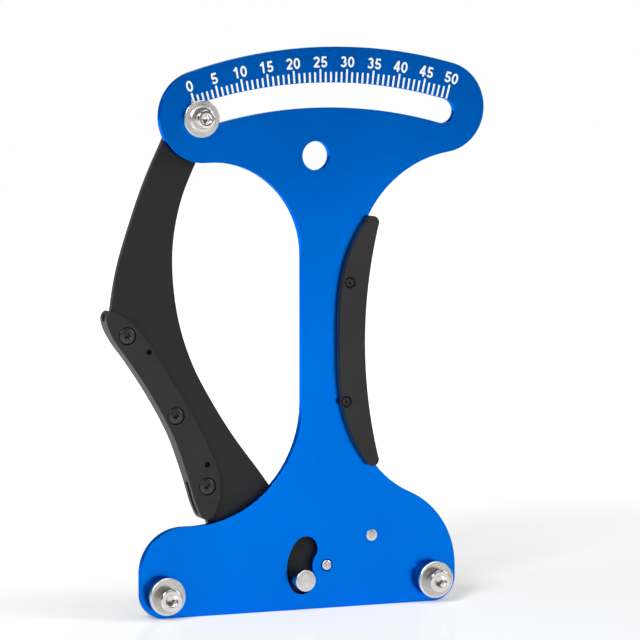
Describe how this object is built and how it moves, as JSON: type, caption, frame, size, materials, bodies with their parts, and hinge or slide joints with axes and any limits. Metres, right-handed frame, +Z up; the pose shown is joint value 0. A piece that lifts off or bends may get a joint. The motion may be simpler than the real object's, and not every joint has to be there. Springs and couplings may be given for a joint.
{
  "type": "spoke tension meter",
  "caption": "Flat hand gauge: fixed posts hold a wheel spoke, a sprung squeeze lever presses a moving post on it and sweeps a pointer along a curved slot with a scale.",
  "frame": {"origin": "on the bottom edge of the body plate, at the middle of its thickness, straight below the lever's pivot", "axes": "+Z up along the handle towards the scale, -Y out of the printed front, +X towards the high end of the scale"},
  "size_m": [0.1522, 0.022, 0.2132],
  "materials": {
    "anodised_plate": "satin blue anodised",
    "black_lever": "satin black coated steel",
    "grip_plastic": "fine grained moulding",
    "turned_steel": "turned and brushed",
    "screw_steel": "stainless",
    "plated_steel": "zinc plated",
    "black_screw": "black oxide",
    "spring_steel": "drawn wire and stamped strip",
    "scale_ink": "white print",
    "nylon": "natural"
  },
  "bodies": {
    "body": {"body_plate": "anodised_plate", "left_post": "turned_steel", "right_post": "turned_steel", "post_screws": "screw_steel", "post_washers": "plated_steel", "post_nuts": "plated_steel", "body_grip_front": "grip_plastic", "body_grip_rear": "grip_plastic", "body_grip_screws": "black_screw", "body_grip_nuts": "plated_steel", "pivot_pin": "turned_steel", "thrust_washer_front": "nylon", "thrust_washer_rear": "nylon", "retaining_clip": "spring_steel", "spring_anchor": "turned_steel", "return_spring": "spring_steel"},
    "lever": {"lever_plate": "black_lever", "moving_post": "turned_steel", "spring_pin": "turned_steel", "lever_grip_front": "grip_plastic", "lever_grip_rear": "grip_plastic", "lever_grip_screws": "black_screw", "lever_grip_nuts": "plated_steel", "pointer_disc": "turned_steel", "pointer_sleeve": "turned_steel", "pointer_screw": "screw_steel", "pointer_washer": "plated_steel", "pointer_nut": "plated_steel"}
  },
  "joints": [
    {"name": "lever_pivot", "type": "hinge", "parent": "body", "child": "lever", "pos_m": [0, 0, 0.0165], "axis": [0, 1, 0], "range_deg": [0, 32.5], "stiffness_Nm_per_rad": 1.23, "springref_deg": -9.17, "deforming": ["return_spring"]}
  ]
}
